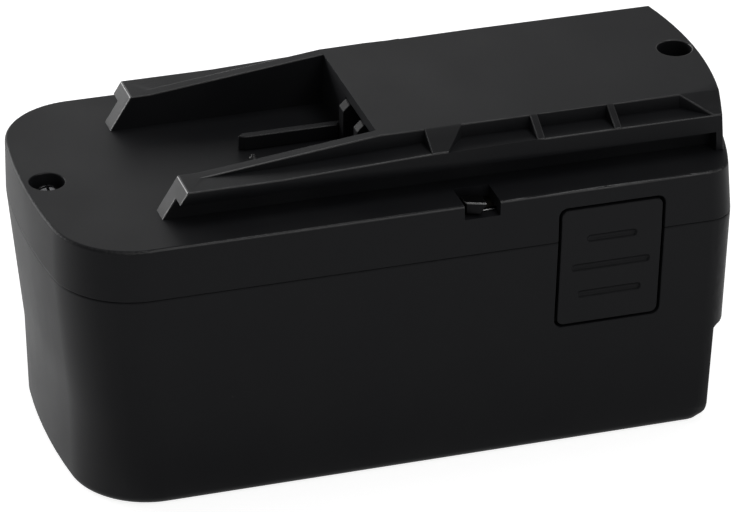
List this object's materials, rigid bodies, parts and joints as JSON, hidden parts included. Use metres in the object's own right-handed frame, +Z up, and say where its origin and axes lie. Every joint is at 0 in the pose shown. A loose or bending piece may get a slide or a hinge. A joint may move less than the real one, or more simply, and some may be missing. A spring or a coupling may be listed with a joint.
{
  "type": "power tool battery pack",
  "caption": "Slide-on battery pack for a cordless tool, with a rail block on its deck, a contact recess and a sprung release button with a latch hook in each side.",
  "frame": {"origin": "middle of the underside, on the surface that the pack stands on", "axes": "+Z up, +X towards the rear end with the high slide block, -Y the left side, seen from the rear screw"},
  "size_m": [0.1277, 0.0584, 0.0622],
  "materials": {
    "shell_plastic": "fine moulded texture",
    "button_plastic": "fine moulded texture",
    "block_plastic": "smooth",
    "hook_steel": "blackened, rubbed bright at its edges",
    "spring_steel": "drawn wire",
    "screw_steel": "blackened",
    "contact_brass": "plated spring sheet",
    "nickel": "rolled strip",
    "cell_sleeve": "shrink sleeve",
    "card": "pressed fibre board",
    "foam": "closed foam",
    "cutout_case": "smooth",
    "red_insulation": "smooth",
    "black_insulation": "smooth"
  },
  "bodies": {
    "pack": {"case": "shell_plastic", "cover": "shell_plastic", "guide_rib": "shell_plastic", "cover_screws": "screw_steel", "button_spring_left": "spring_steel", "button_spring_right": "spring_steel", "contact_block": "block_plastic", "contact_clip_positive": "contact_brass", "contact_clip_negative": "contact_brass", "positive_lead": "red_insulation", "negative_lead": "black_insulation", "cell_01": "cell_sleeve", "cell_02": "cell_sleeve", "cell_03": "cell_sleeve", "cell_04": "cell_sleeve", "cell_05": "cell_sleeve", "cell_06": "cell_sleeve", "cell_07": "cell_sleeve", "cell_08": "cell_sleeve", "cell_09": "cell_sleeve", "cell_10": "cell_sleeve", "top_strips": "nickel", "bottom_strips": "nickel", "top_card": "card", "base_pad": "foam", "thermal_cutout": "cutout_case"},
    "left_release": {"release_button_left": "button_plastic", "latch_hook_left": "hook_steel"},
    "right_release": {"release_button_right": "button_plastic", "latch_hook_right": "hook_steel"}
  },
  "joints": [
    {"name": "left_button_press", "type": "slide", "parent": "pack", "child": "left_release", "axis": [0, 1, 0], "range_m": [0, 0.0022], "stiffness_N_per_m": 3000, "springref_m": -0.0008, "deforming": ["button_spring_left"]},
    {"name": "right_button_press", "type": "slide", "parent": "pack", "child": "right_release", "axis": [0, -1, 0], "range_m": [0, 0.0022], "stiffness_N_per_m": 3000, "springref_m": -0.0008, "deforming": ["button_spring_right"]}
  ]
}
